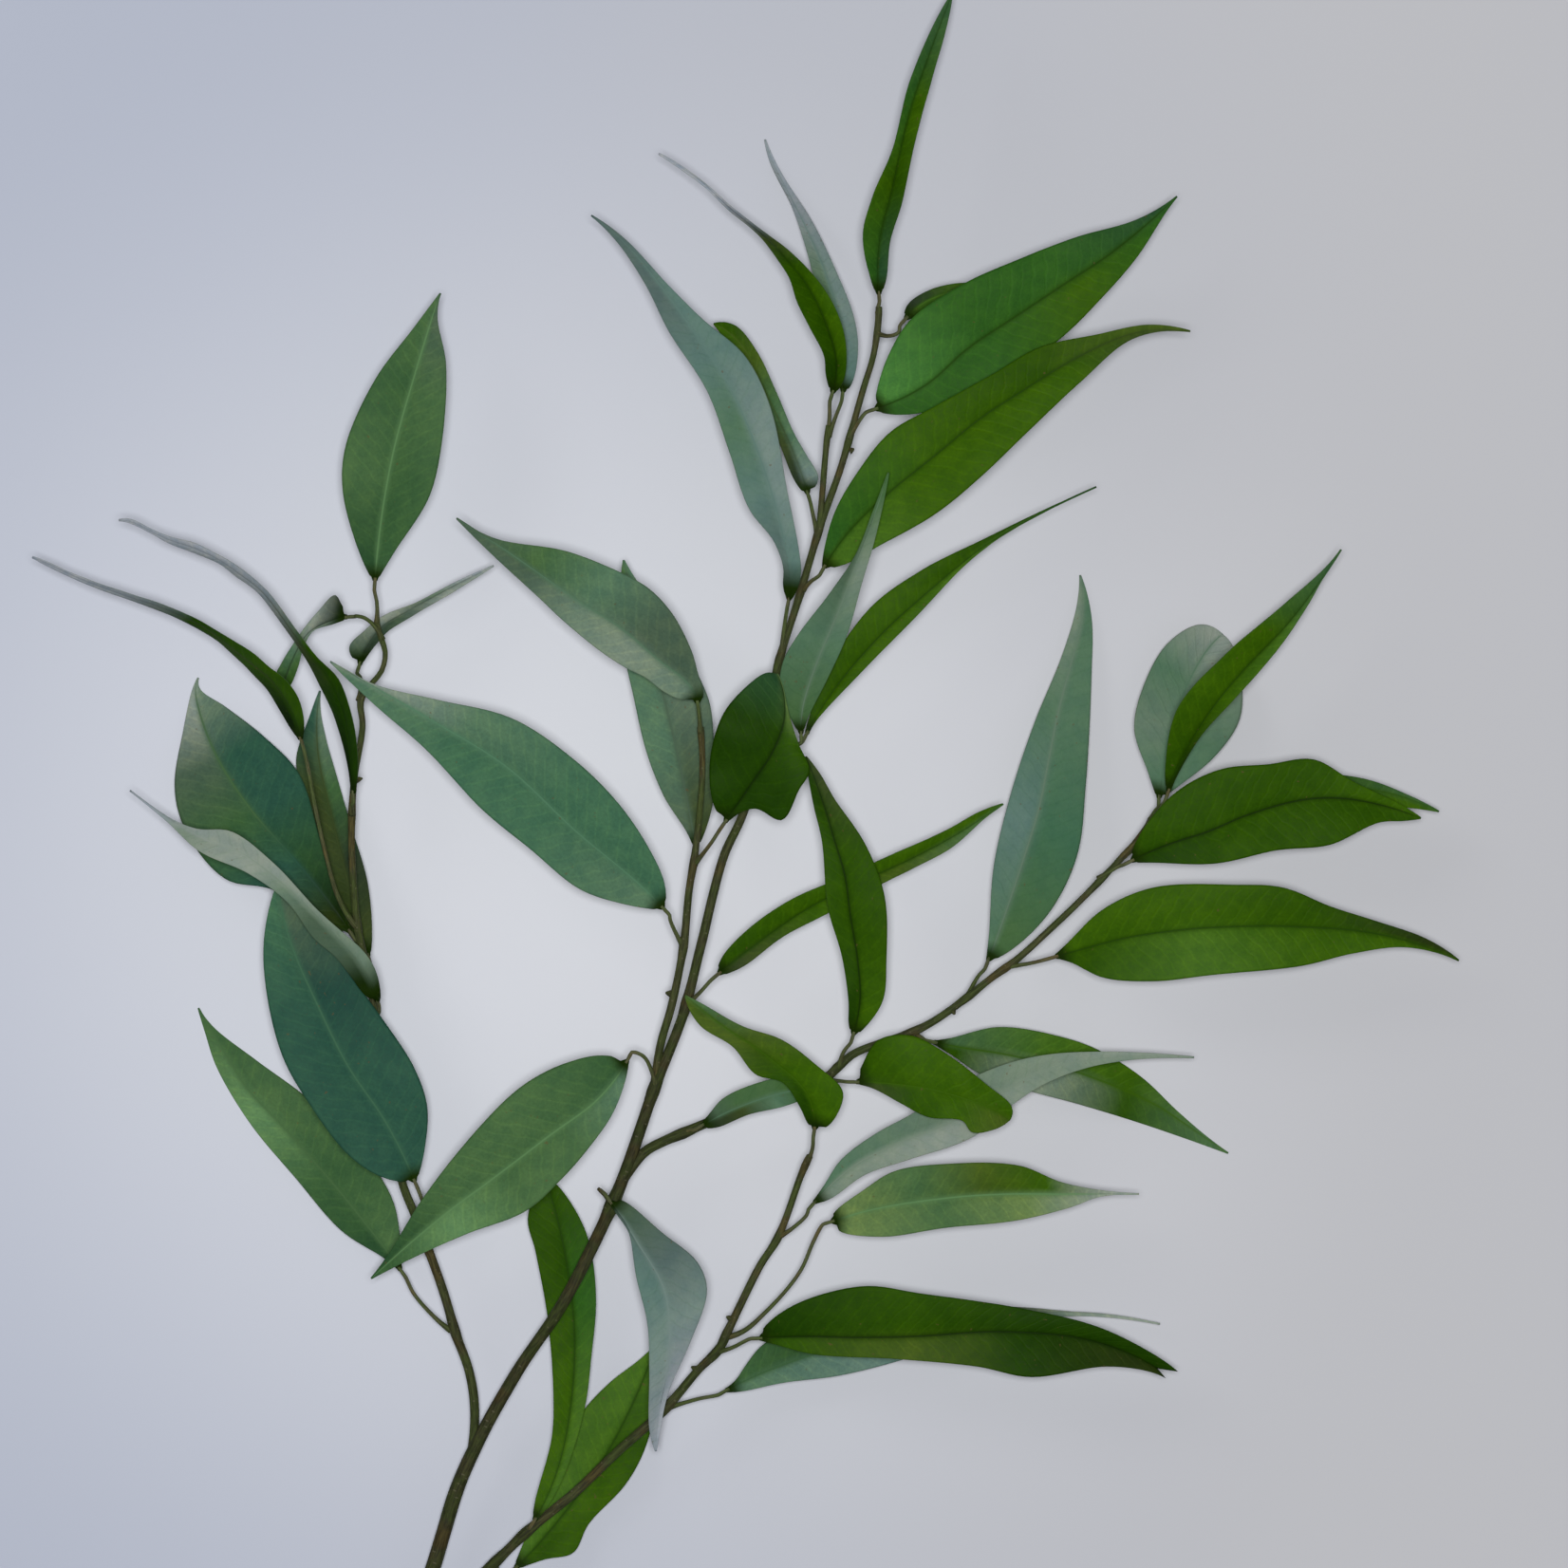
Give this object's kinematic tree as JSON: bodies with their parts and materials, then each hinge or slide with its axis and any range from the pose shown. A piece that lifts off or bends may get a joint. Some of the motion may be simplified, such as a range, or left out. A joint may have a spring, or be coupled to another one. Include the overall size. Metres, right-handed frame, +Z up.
{
  "type": "lemon-scented gum branch",
  "caption": "Cut branch of lemon-scented gum lying on a surface: a forked brown stem with long narrow pointed leaves, green above and grey-green beneath.",
  "frame": {"origin": "centre of the branch's box in plan, on the surface that it lies on", "axes": "+Y runs up the branch from the cut end to the topmost leaf, +Z is up, away from the surface, +X is to the right as seen from above"},
  "size_m": [0.4956, 0.6496, 0.0687],
  "materials": {
    "bark": "matte",
    "leaf": "satin",
    "leaf_underside": "matte"
  },
  "bodies": {
    "root": {"stem": "bark", "leaf_01": "leaf", "leaf_02": "leaf", "leaf_03": "leaf", "leaf_04": "leaf", "leaf_05": "leaf", "leaf_06": "leaf", "leaf_07": "leaf", "leaf_08": "leaf", "leaf_09": "leaf_underside", "leaf_10": "leaf", "leaf_11": "leaf", "leaf_12": "leaf", "leaf_13": "leaf", "leaf_14": "leaf", "leaf_15": "leaf", "leaf_16": "leaf_underside", "leaf_17": "leaf", "leaf_18": "leaf", "leaf_19": "leaf", "leaf_20": "leaf", "leaf_21": "leaf_underside", "leaf_22": "leaf", "leaf_23": "leaf_underside", "leaf_24": "leaf", "leaf_25": "leaf", "leaf_26": "leaf", "leaf_27": "leaf_underside", "leaf_28": "leaf", "leaf_29": "leaf", "leaf_30": "leaf", "leaf_31": "leaf", "leaf_32": "leaf_underside", "leaf_33": "leaf", "leaf_34": "leaf", "leaf_35": "leaf_underside", "leaf_36": "leaf", "leaf_37": "leaf", "leaf_38": "leaf", "leaf_39": "leaf_underside", "leaf_40": "leaf_underside", "leaf_41": "leaf", "leaf_42": "leaf", "leaf_43": "leaf", "leaf_44": "leaf"}
  },
  "joints": []
}
